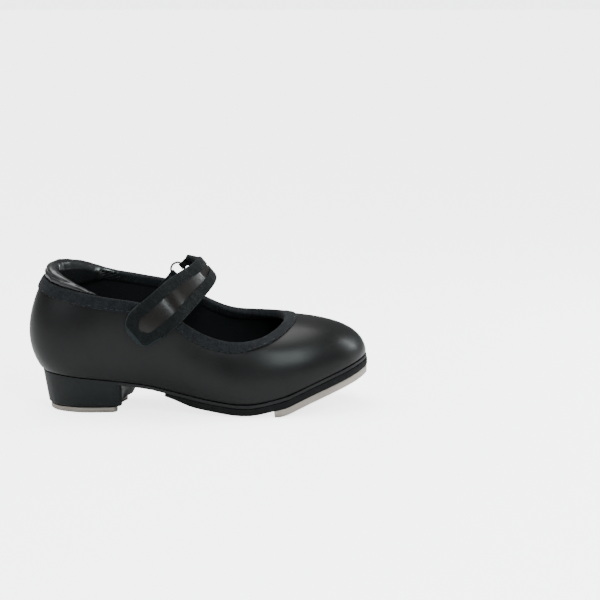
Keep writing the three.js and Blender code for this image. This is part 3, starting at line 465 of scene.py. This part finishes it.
EVEN = (1.0, 1.0, 1.0)  # a finish without lines
tap_metal = metal("tap_metal", (0.30, 0.265, 0.235), 0.42, (5.0, 5.0, 1.0), 300.0, 0.08 * mm)
ring_metal = metal("ring_plating", (0.11, 0.105, 0.1), 0.16, EVEN, 500.0, 0.02 * mm, 0.2)
screw_steel = metal("screw_plating", (0.62, 0.62, 0.63), 0.3, EVEN, 700.0, 0.03 * mm, 0.4)
shank_steel = metal(
    "shank_spring_steel", (0.3, 0.31, 0.34), 0.35, (9.0, 1.0, 1.0), 300.0, 0.04 * mm, 0.3
)
print("metals", tap_metal.name, ring_metal.name, screw_steel.name)


def dress(piece, material):
    piece.data.materials.clear()
    piece.data.materials.append(material)
    return piece


# %% [markdown]
# ## Following a tape or a strap
# A woven tape looks right only when its ribs turn with it. A `Run` is a smooth line along the
# tape's edge. It gives each point near it two numbers, how far along the line it is and how far from
# it, and these become the UV map. A list of short chords is close enough for both.

# %% Runs
class Run:
    def __init__(self, points, closed):
        self.points = points
        self.closed = closed
        ends = points[1:] + ([points[0]] if closed else [])
        self.chords = list(zip(points, ends))
        self.starts = [0.0]
        for a, b in self.chords:
            self.starts.append(self.starts[-1] + (b - a).length)
        self.length = self.starts[-1]

    def near(self, point):
        best = None
        for index, (a, b) in enumerate(self.chords):
            chord = b - a
            share = max(0.0, min(1.0, (point - a).dot(chord) / chord.length_squared))
            gap = (a + chord * share - point).length
            if best is None or gap < best[1]:
                best = (self.starts[index] + chord.length * share, gap)
        return best

    def at(self, distance):
        distance = distance % self.length if self.closed else max(0.0, min(self.length, distance))
        index = 0
        while index < len(self.chords) - 1 and self.starts[index + 1] < distance:
            index += 1
        a, b = self.chords[index]
        share = (distance - self.starts[index]) / (b - a).length
        return a.lerp(b, share), (b - a).normalized()


def chain_edges(edges):
    """Sorts edges that touch end to end into closed rows of points."""
    by_vert = {}
    for edge in edges:
        for vert in edge.verts:
            by_vert.setdefault(vert, []).append(edge)
    rows, used = [], set()
    for edge in edges:
        if edge in used:
            continue
        used.add(edge)
        row = [edge.verts[0], edge.verts[1]]
        while True:
            following = [e for e in by_vert[row[-1]] if e not in used]
            if not following:
                break
            used.add(following[0])
            row.append(following[0].other_vert(row[-1]))
        rows.append([v.co.copy() for v in row[:-1]])
    return rows


def smooth_row(points, parts):
    """A closed row of points with a soft curve through them."""
    count = len(points)
    result = []
    for i in range(count):
        before, a, b, after = (points[(i + k) % count] for k in (-1, 0, 1, 2))
        for step in range(parts):
            t = step / parts
            square = 2 * before - 5 * a + 4 * b - after
            cube = 3 * a - before - 3 * b + after
            result.append(0.5 * (2 * a + (b - before) * t + square * t ** 2 + cube * t ** 3))
    return result


def write_uv(piece, locate, length=None):
    """Makes a UV map of two numbers per point. A closed run's length keeps its last face whole."""
    mesh = piece.data
    layer = mesh.uv_layers.new(name="run")
    found = [locate(vert.co) for vert in mesh.vertices]
    for polygon in mesh.polygons:
        corners = [found[mesh.loops[i].vertex_index] for i in polygon.loop_indices]
        far = max(c[0] for c in corners)
        for index, (u, v) in zip(polygon.loop_indices, corners):
            if length and far - u > length / 2:
                u += length
            layer.data[index].uv = (u, v)


# %% [markdown]
# ## Upper
# The upper is one skin pulled over a last and turned in under the foot. The solid already has that
# shape, in rows that run round the shoe, so one Subdivision Surface makes it smooth. A light crease
# keeps the turn at the sole crisp. The lining inside it is finished the same way.

# %% Upper and lining
upper = smooth_copy("upper", "upper_skin", "shoe", levels=2, crease=0.25)
dress(upper, upper_skin)
inner = smooth_copy("upper_lining", "lining_cloth", "shoe", levels=1, crease=0.25)
dress(inner, lining)
print("upper", len(upper.data.polygons), "faces before smoothing")

# %% [markdown]
# ## Edge tape
# The tape is folded over the top edge and sewn through. Its lower edge is found on the solid as the
# longest row of sharp edges, and gives the run that the ribs and the stitches follow.

# %% Edge tape
bm = merged_copy("topline_binding")
pair_triangles(bm)
sharp = [e for e in bm.edges if len(e.link_faces) == 2 and e.calc_face_angle(0) > math.radians(70)]
rows = chain_edges(sharp)
lower_edge = max(rows, key=lambda row: sum((row[i] - row[i - 1]).length for i in range(len(row))))
tape_run = Run(smooth_row(lower_edge, 4), closed=True)
crease_sharp_edges(bm, math.radians(60), 0.75)
edge_tape = subdivide(finish_piece(bm, "edge_tape", "shoe", ["topline_binding"]), 2)
bake_modifiers(edge_tape)
write_uv(edge_tape, tape_run.near, tape_run.length)
dress(edge_tape, tape)
print(len(rows), "sharp rows; tape run", round(tape_run.length / mm), "mm")

# %% [markdown]
# ## Sewing
# A stitch is a short grain of thread that sinks at both ends. One function lays a row of them, each
# turned along its seam and flattened on to the cloth. Each grain has few faces, because there are
# so many.

# %% Sewing helper
STITCH_LIFT = 0.02 * mm  # a stitch's middle above the cloth


def outward_basis(along, normal):
    side = normal.cross(along).normalized()
    return Matrix((along, side, along.cross(side))).transposed()


def sew(name, places, body, length=2.3 * mm, thick=0.42 * mm):
    bm = bmesh.new()
    size = Matrix.Diagonal((length / 2, thick / 2, thick / 2.4, 1.0))
    for point, along, normal in places:
        turn = outward_basis(along, normal).to_4x4()
        bmesh.ops.create_uvsphere(
            bm, u_segments=6, v_segments=5, radius=1.0, matrix=Matrix.Translation(point) @ turn @ size
        )
    bmesh.ops.recalc_face_normals(bm, faces=bm.faces)
    piece = finish_piece(bm, name, body)
    return dress(piece, thread)


def surface_of(piece):
    return BVHTree.FromObject(piece, bpy.context.evaluated_depsgraph_get())


# %% Stitches along the edge tape
STITCH_PITCH = 3.1 * mm
TAPE_SEAM = 1.1 * mm  # in from the tape's lower edge
PROBE = 3 * mm  # the tape lies on the side of its edge where a probe this far off is nearer to it

tape_surface = surface_of(edge_tape)
places = []
for i in range(int(tape_run.length / STITCH_PITCH)):
    edge_point, along = tape_run.at(i * STITCH_PITCH)
    _, normal, _, _ = tape_surface.find_nearest(edge_point)
    side = normal.cross(along).normalized()
    gaps = [tape_surface.find_nearest(edge_point + side * PROBE * turn)[3] for turn in (-1, 1)]
    if gaps[0] < gaps[1]:
        side = -side
    spot, normal, _, _ = tape_surface.find_nearest(edge_point + side * TAPE_SEAM)
    places.append((spot + normal * STITCH_LIFT, along, normal))
edge_stitches = sew("edge_tape_stitches", places, "shoe")
print(len(places), "stitches round the opening")

# %% [markdown]
# ## Strap
# The strap is a coated skin on a cloth backing with a tape folded round its edge. Its solids bend in
# one plane only, so each point of it has a place along the strap and a place across it, read from
# the skin's own solid. Soft cross creases where the strap turns over the instep catch the light.

# %% The strap's own directions
hinge = next(joint for joint in frame["joints"] if joint["name"] == "strap_hinge")
ring_grip = Vector(hinge["pos_m"])
wide = -Vector(hinge["axis"]).normalized()
uphill = Vector((-wide.z, 0, wide.x))
SLICES = 44


def bend_plane(point):
    offset = point - ring_grip
    return Vector((offset.dot(uphill), offset.y, 0)), offset.dot(wide)


def slices_of(pairs, count):
    """Averages of the values whose key falls in each of count equal slices."""
    low, high = min(k for k, _ in pairs), max(k for k, _ in pairs)
    rows = [[] for _ in range(count)]
    for key, value in pairs:
        rows[min(int((key - low) / (high - low) * count), count - 1)].append((key, value))
    return [row for row in rows if row]


skin_points = [bend_plane(v.co) for v in nodes["strap_face"].data.vertices]
ordered = [(-flat.y - 0.5 * flat.x, flat) for flat, _ in skin_points]
middle_row = [sum((f for _, f in row), Vector()) / len(row) for row in slices_of(ordered, SLICES)]
strap_run = Run(middle_row, closed=False)

spans = []
for row in slices_of([(strap_run.near(flat)[0], across) for flat, across in skin_points], SLICES):
    low, high = min(a for _, a in row), max(a for _, a in row)
    spans.append((sum(k for k, _ in row) / len(row), (low + high) / 2, (high - low) / 2))


def span_at(along):
    for (k0, m0, h0), (k1, m1, h1) in zip(spans, spans[1:]):
        if along <= k1:
            share = max(0.0, (along - k0) / (k1 - k0))
            return m0 + (m1 - m0) * share, h0 + (h1 - h0) * share
    return spans[-1][1], spans[-1][2]


def strap_place(point):
    flat, across = bend_plane(point)
    along = strap_run.near(flat)[0]
    return along, across - span_at(along)[0]


def strap_frame(along, across):
    """A point of the strap's middle sheet with its two directions and its outward normal."""
    flat, heading = strap_run.at(along)
    point = ring_grip + uphill * flat.x + Vector((0, flat.y, 0)) + wide * (span_at(along)[0] + across)
    tangent = (uphill * heading.x + Vector((0, heading.y, 0))).normalized()
    return point, tangent, wide.cross(tangent).normalized()


print("strap is", round(strap_run.length / mm), "mm long and up to",
      round(2 * max(h for _, _, h in spans) / mm, 1), "mm wide inside its tape")

# %% Strap skin
# Each crease: its place as a share of the strap, its half width in mm and its height in mm.
CREASES = [(0.18, 2.24, 0.26), (0.245, 2.4, -0.3), (0.31, 2.4, 0.26), (0.375, 2.56, -0.2)]


def crease_lift(along):
    """How far the creases raise the skin at a distance along the strap."""
    lift = 0.0
    for share, half_width, rise in CREASES:
        gap = along - share * strap_run.length
        lift += rise * mm * math.exp(-((gap / (half_width * mm)) ** 2))
    return lift


face = smooth_copy("strap_face", "strap_skin", "strap", levels=3, crease=0.4)
bake_modifiers(face)
for vert in face.data.vertices:
    along, across = strap_place(vert.co)
    vert.co += strap_frame(along, across)[2] * crease_lift(along)
write_uv(face, strap_place)
dress(face, strap_skin)
backing = smooth_copy("strap_backing", "strap_lining", "strap", levels=1, crease=0.4)
dress(backing, lining)
print("strap skin of", len(face.data.vertices), "points with", len(CREASES), "creases")

# %% Strap tape
ROUND_END = 12 * mm  # length of the strap's rounded end
RIM_SLICES = 60

bm = merged_copy("strap_binding")
pair_triangles(bm)
crease_sharp_edges(bm, math.radians(70), 0.6)
strap_edge = subdivide(finish_piece(bm, "strap_tape", "strap", ["strap_binding"]), 2)
bake_modifiers(strap_edge)
flat_points = [strap_place(v.co) for v in strap_edge.data.vertices]
round_start = max(k for k, _ in flat_points) - ROUND_END
sides = []
for row in slices_of(flat_points, RIM_SLICES):
    along = sum(k for k, _ in row) / len(row)
    if along < round_start:
        sides.append((along, max(abs(a) for _, a in row)))

# The rounded end is the outermost ring of its points, put in order by their angle round its middle.
end_points = [Vector(p) for p in flat_points if p[0] > round_start]
turn_middle = round_start - 2 * mm
corner = [end_points[i] for i in convex_hull_2d(end_points)]
corner.sort(key=lambda p: -math.atan2(p.y, p.x - turn_middle))
outline = [Vector((k, h, 0)) for k, h in sides] + [p.to_3d() for p in corner]
outline += [Vector((k, -h, 0)) for k, h in reversed(sides)]
rim_run = Run(outline, closed=False)
write_uv(strap_edge, lambda co: rim_run.near(Vector((*strap_place(co), 0))))
dress(strap_edge, strap_tape)
print("the strap's tape runs", round(rim_run.length / mm), "mm round it")

# %% Stitches along the strap
STRAP_SEAM = 4.6 * mm  # in from the strap's edge
STRAP_PITCH = 2.9 * mm
SEAM_START = 8 * mm  # the seam starts this far from the ring
strap_surface = surface_of(strap_edge)


def strap_stitches():
    row = []
    for i in range(1, int(rim_run.length / STRAP_PITCH) - 1):
        rim, heading = rim_run.at(i * STRAP_PITCH)
        inward = Vector((heading.y, -heading.x, 0))
        if (rim + inward * mm).y ** 2 > rim.y ** 2:
            inward = -inward
        spot = rim + inward * STRAP_SEAM
        point, tangent, normal = strap_frame(spot.x, spot.y)
        hit, face_normal, _, _ = strap_surface.ray_cast(point + normal * 5 * mm, -normal, 8 * mm)
        if hit is None or spot.x < SEAM_START:
            continue
        direction = (tangent * heading.x + wide * heading.y).normalized()
        direction = (direction - face_normal * direction.dot(face_normal)).normalized()
        row.append((hit + face_normal * STITCH_LIFT, direction, face_normal))
    return row


strap_row = strap_stitches()
sew("strap_stitches", strap_row, "strap", length=2.0 * mm, thick=0.36 * mm)
print(len(strap_row), "stitches on the strap")

# %% [markdown]
# ## Padded pieces
# The collar and the sock are foam under a thin cover. The solid is shrunk a little, remeshed into
# even cells and blown up by a cloth simulation with a slight pressure, so that it swells between its
# edges as foam does. Cloth settings suit pieces of a metre or so, so the piece is enlarged for the
# simulation and brought back after it. No point may move further than a set cap. The collar is also
# sewn along two lines, which are pressed into it afterwards and leave soft rolls between them.

# %% Cloth helper
ENLARGE = 20.0
STEPS = 14  # frames that the simulation runs


def plump(node_name, piece_name, body, shrink, voxel, pressure, cap):
    bm = merged_copy(node_name)
    bmesh.ops.recalc_face_normals(bm, faces=bm.faces)
    bm.normal_update()
    moved = [(v, v.normal.copy()) for v in bm.verts]
    for vert, normal in moved:
        vert.co -= normal * shrink
    bmesh.ops.scale(bm, vec=(ENLARGE,) * 3, verts=bm.verts)
    piece = finish_piece(bm, piece_name, body, [node_name])
    remesh = piece.modifiers.new("Remesh", "REMESH")
    remesh.mode = "VOXEL"
    remesh.voxel_size = voxel * ENLARGE
    bake_modifiers(piece)
    before = [v.co.copy() for v in piece.data.vertices]
    cloth = piece.modifiers.new("Cloth", "CLOTH")
    cloth.settings.use_pressure = True
    cloth.settings.uniform_pressure_force = pressure
    cloth.settings.effector_weights.gravity = 0.0
    cloth.settings.quality = 4
    for step in range(1, STEPS + 1):
        bpy.context.scene.frame_set(step)
    bake_modifiers(piece)
    bpy.context.scene.frame_set(1)
    swell = 0.0
    for vert, start in zip(piece.data.vertices, before):
        move = vert.co - start
        limit = cap * ENLARGE
        if move.length > limit:
            move = move.normalized() * limit
        swell = max(swell, move.length)
        vert.co = (start + move) / ENLARGE
    for polygon in piece.data.polygons:
        polygon.use_smooth = True
    print(piece_name, len(before), "points, swells", round(swell / ENLARGE / mm, 2), "mm")
    return piece


def relax(piece, rounds):
    bm = bmesh.new()
    bm.from_mesh(piece.data)
    for _ in range(rounds):
        bmesh.ops.smooth_vert(
            bm, verts=bm.verts, factor=0.5, use_axis_x=True, use_axis_y=True, use_axis_z=True
        )
    bm.to_mesh(piece.data)
    bm.free()


# %% Heel collar
CHANNELS = [3.3 * mm, 6.0 * mm]  # sewn lines, above the seat of the collar on the tape
CHANNEL_DEPTH = 0.55 * mm
CHANNEL_WIDTH = 0.62 * mm
BINDING_TOP = 6.3 * mm  # the tape's upper edge above its lower edge
COLLAR_MIDDLE = -58 * mm  # the heel's centre, which the collar bends round
CHANNEL_FADE = 24 * mm  # the lines fade out over this length at the collar's front ends

collar = plump(
    "heel_collar", "heel_collar_pad", "shoe",
    shrink=0.25 * mm, voxel=0.42 * mm, pressure=4.0, cap=0.5 * mm,
)
relax(collar, 9)
collar_front = max(v.co.x for v in collar.data.vertices)
moves = []
for vert in collar.data.vertices:
    along, _ = tape_run.near(vert.co)
    height = vert.co.z - tape_run.at(along)[0].z - BINDING_TOP
    fade = min(1.0, max(0.0, (collar_front - vert.co.x) / CHANNEL_FADE)) ** 0.6
    outward = Vector((vert.co.x - COLLAR_MIDDLE, vert.co.y, 0)).normalized()
    facing = min(1.0, max(0.0, vert.normal.dot(outward) * 2 + 0.9))
    groove = sum(math.exp(-(((height - line * fade) / CHANNEL_WIDTH) ** 2)) for line in CHANNELS)
    moves.append(vert.normal * -CHANNEL_DEPTH * groove * fade * facing)
for vert, move in zip(collar.data.vertices, moves):
    vert.co += move
relax(collar, 2)
dress(collar, collar_skin)

# %% Sock
sock = plump(
    "sock_liner", "sock", "shoe", shrink=0.3 * mm, voxel=1.1 * mm, pressure=3.0, cap=0.4 * mm
)
relax(sock, 2)
dress(sock, lining)

# %% [markdown]
# ## Ring, loops and pads
# The ring is wire, so it is a circle spun round its middle. The cloth loops that hold it are
# finished like the other tape, and the strap's loop gets the tail that runs on under the strap. The
# two pads of the fastening are cut from cloth with a pile, so they are smoothed and left matt.

# %% Ring
ring_low, ring_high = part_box("strap_ring")
ring_centre = (ring_low + ring_high) / 2
wire_radius = (ring_high.y - ring_low.y) / 2
ring_radius = (ring_high.x - ring_low.x) / 2 - wire_radius

bm = bmesh.new()
bmesh.ops.create_circle(bm, segments=16, radius=wire_radius * 1.04)
bmesh.ops.translate(bm, vec=(ring_radius, 0, 0), verts=bm.verts)
bmesh.ops.spin(
    bm, geom=bm.verts[:] + bm.edges[:], cent=(0, 0, 0), axis=(0, 1, 0), dvec=(0, 0, 0),
    angle=2 * math.pi, steps=56, use_merge=True, use_duplicate=False,
)
bmesh.ops.translate(bm, vec=ring_centre, verts=bm.verts)
bmesh.ops.remove_doubles(bm, verts=bm.verts, dist=0.001 * mm)
bmesh.ops.recalc_face_normals(bm, faces=bm.faces)
ring = dress(finish_piece(bm, "wire_ring", "ring", ["strap_ring"]), ring_metal)
print("ring", round(2 * (ring_radius + wire_radius) / mm, 1), "mm across")

# %% Loops
for node_name, piece_name, body in (
    ("ring_tab", "ring_tab_tape", "shoe"), ("strap_loop", "strap_loop_tape", "strap"),
):
    loop = smooth_copy(node_name, piece_name, body, levels=2, crease=0.7, angle=60)
    bake_modifiers(loop)
    write_uv(loop, lambda co: (co.z + co.x, co.y))
    dress(loop, strap_tape)

# %% The loop's tail
# A cube cut into eight lengths is laid along the strap. The first length bridges to the ring.
TAIL_WIDTH, TAIL_LENGTH, TAIL_HALF_THICK = 4.4 * mm, 7 * mm, 0.45 * mm
TAIL_PARTS = 8
TAIL_START = 2 * mm  # above the ring's grip

bm = bmesh.new()
bmesh.ops.create_cube(bm, size=2)
lengthwise = [e for e in bm.edges if abs(e.verts[0].co.x - e.verts[1].co.x) > 1]
bmesh.ops.subdivide_edges(bm, edges=lengthwise, cuts=TAIL_PARTS - 1, use_grid_fill=True)
for vert in bm.verts:
    part = round((vert.co.x + 1) * TAIL_PARTS / 2)
    centre, _, normal = strap_frame(TAIL_LENGTH * (part - 1) / (TAIL_PARTS - 1), 0)
    if part == 0:
        centre = ring_grip + uphill * TAIL_START
    sideways = wide * vert.co.y * TAIL_WIDTH / 2
    vert.co = centre + sideways + normal * vert.co.z * TAIL_HALF_THICK
bmesh.ops.recalc_face_normals(bm, faces=bm.faces)
crease_sharp_edges(bm, math.radians(60), 0.7)
tail = bake_modifiers(subdivide(finish_piece(bm, "strap_loop_tail", "strap"), 2))
write_uv(tail, lambda co: (co.z + co.x, co.y))
dress(tail, strap_tape)
print("tail of", len(tail.data.polygons), "faces")

# %% Pads
for node_name, piece_name, body, slot in (
    ("loop_pad", "loop_pile", "shoe", "loop_fabric"), ("hook_pad", "hook_tape", "strap", "hook_fabric"),
):
    dress(smooth_copy(node_name, piece_name, body, levels=2, crease=0.5), pile)
    print(piece_name, "rides on the", body)

# %% [markdown]
# ## Hard pieces
# Soles, heel and taps are cut or moulded solids. No real edge is razor sharp, so each gets a narrow
# bevel of its own size. Flat areas are first cleared of the spare edges that triangles leave, or the
# bevel would follow those too.

# %% Hard pieces
BEVEL_ANGLE = math.radians(34)  # edges sharper than this are bevelled


def edged_copy(node_name, piece_name, material, width, segments=2):
    bm = merged_copy(node_name)
    bmesh.ops.dissolve_limit(bm, angle_limit=math.radians(1.2), verts=bm.verts, edges=bm.edges)
    piece = finish_piece(bm, piece_name, "shoe", [node_name])
    bevel = piece.modifiers.new("Bevel", "BEVEL")
    bevel.width = width
    bevel.segments = segments
    bevel.limit_method = "ANGLE"
    bevel.angle_limit = BEVEL_ANGLE
    bevel.harden_normals = True
    bevel.use_clamp_overlap = True
    dress(piece, material)
    print(piece_name, len(piece.data.polygons), "faces, edge", round(width / mm, 2), "mm")


edged_copy("runner_sole", "outsole", runner_rubber, 0.35 * mm)
edged_copy("half_sole", "half_sole_ground", half_rubber, 0.3 * mm)
edged_copy("heel_block", "heel_moulding", heel_plastic, 0.5 * mm, 3)
edged_copy("heel_tap", "heel_tap_ground", tap_metal, 0.3 * mm, 3)
edged_copy("toe_tap", "toe_tap_ground", tap_metal, 0.3 * mm, 3)

# %% [markdown]
# ## Pieces inside and fasteners
# Boards, shank, filler, screws and nails are hidden in a finished shoe. They keep their plain solids
# and get a material each, so that they look right when the shoe is taken apart.

# %% Pieces inside and fasteners
plain = {
    "heel_counter": board, "toe_puff": board, "insole_board": board, "bottom_filler": cork,
    "shank": shank_steel,
}
for node_name in nodes:
    if node_name in plain:
        dress(nodes[node_name], plain[node_name])
    elif "screw" in node_name or "nail" in node_name:
        dress(nodes[node_name], screw_steel)
print(len(plain), "pieces inside; the screws and nails are", screw_steel.name)

# %% [markdown]
# ## Floor and light
# The shoe stands on a wide pale floor under a broad soft light from above. Three softboxes stand
# round it: a narrow one beyond the toe, which draws the highlight on the toe cap, one in front, which
# draws the highlight on the vamp, and a weak one at the heel. The floor also glows, and the air is
# bright, for the camera alone, so both look white and put no more light on the black shoe.

# %% Floor
FLOOR_GLOW = 3.0

bm = bmesh.new()
bmesh.ops.create_grid(bm, x_segments=1, y_segments=1, size=40.0)
mesh = bpy.data.meshes.new("studio_floor")
bm.to_mesh(mesh)
bm.free()
floor = bpy.data.objects.new("studio_floor", mesh)
bpy.context.collection.objects.link(floor)
material, n, shader, place = start_material("pale_floor")
set_inputs(shader, Base_Color=(0.95, 0.95, 0.95, 1), Roughness=0.9, Specular_IOR_Level=0.1)
glow = n.add("ShaderNodeEmission")
seen = n.add("ShaderNodeLightPath").outputs["Is Camera Ray"]
n.link(math_node(n, "MULTIPLY", seen, FLOOR_GLOW), glow.inputs["Strength"])
both = n.add("ShaderNodeAddShader")
n.link(shader.outputs[0], both.inputs[0])
n.link(glow.outputs[0], both.inputs[1])
surface = next(x for x in material.node_tree.nodes if x.type == "OUTPUT_MATERIAL").inputs["Surface"]
n.link(both.outputs[0], surface)
floor.data.materials.append(material)
print("floor of", round(floor.dimensions.x), "m")

# %% Lamps
def softbox(name, place, target, width, height, power, colour):
    lamp = bpy.data.lights.new(name, "AREA")
    lamp.shape = "RECTANGLE"
    lamp.size = width
    lamp.size_y = height
    lamp.energy = power
    lamp.color = colour
    box = bpy.data.objects.new(name, lamp)
    box.location = place
    box.rotation_euler = (Vector(target) - Vector(place)).to_track_quat("-Z", "Y").to_euler()
    bpy.context.collection.objects.link(box)


sky = bpy.data.lights.new("ceiling", "SUN")
sky.energy = 4.0
sky.angle = math.radians(55)  # a wide disc, so that shadows are soft
ceiling = bpy.data.objects.new("ceiling", sky)
ceiling.rotation_euler = (math.radians(-12), math.radians(-14), 0)
bpy.context.collection.objects.link(ceiling)
softbox("toe_side", (0.62, 0.12, 0.33), (0.08, 0, 0.03), 0.07, 0.34, 3.4, (0.93, 1.0, 1.0))
softbox("vamp_side", (0.25, -0.62, 0.60), (0.05, 0, 0.03), 0.16, 0.5, 6.0, (0.88, 1.0, 1.0))
softbox("heel_side", (-0.75, -0.5, 0.5), (-0.05, 0, 0.05), 0.5, 0.5, 2.0, (0.93, 0.97, 1.0))

# %% Air
AIR_LIGHT, AIR_SEEN = 0.32, 4.0  # strength as light, and as the camera sees it

world = bpy.data.worlds.new("studio_air")
world.use_nodes = True
n = Nodes(world.node_tree)
background = world.node_tree.nodes["Background"]
set_inputs(background, Color=(0.95, 0.97, 1.0, 1))
seen = n.add("ShaderNodeLightPath").outputs["Is Camera Ray"]
n.link(remap(n, seen, 0.0, 1.0, AIR_LIGHT, AIR_SEEN), background.inputs["Strength"])
bpy.context.scene.world = world
print("air", world.name)
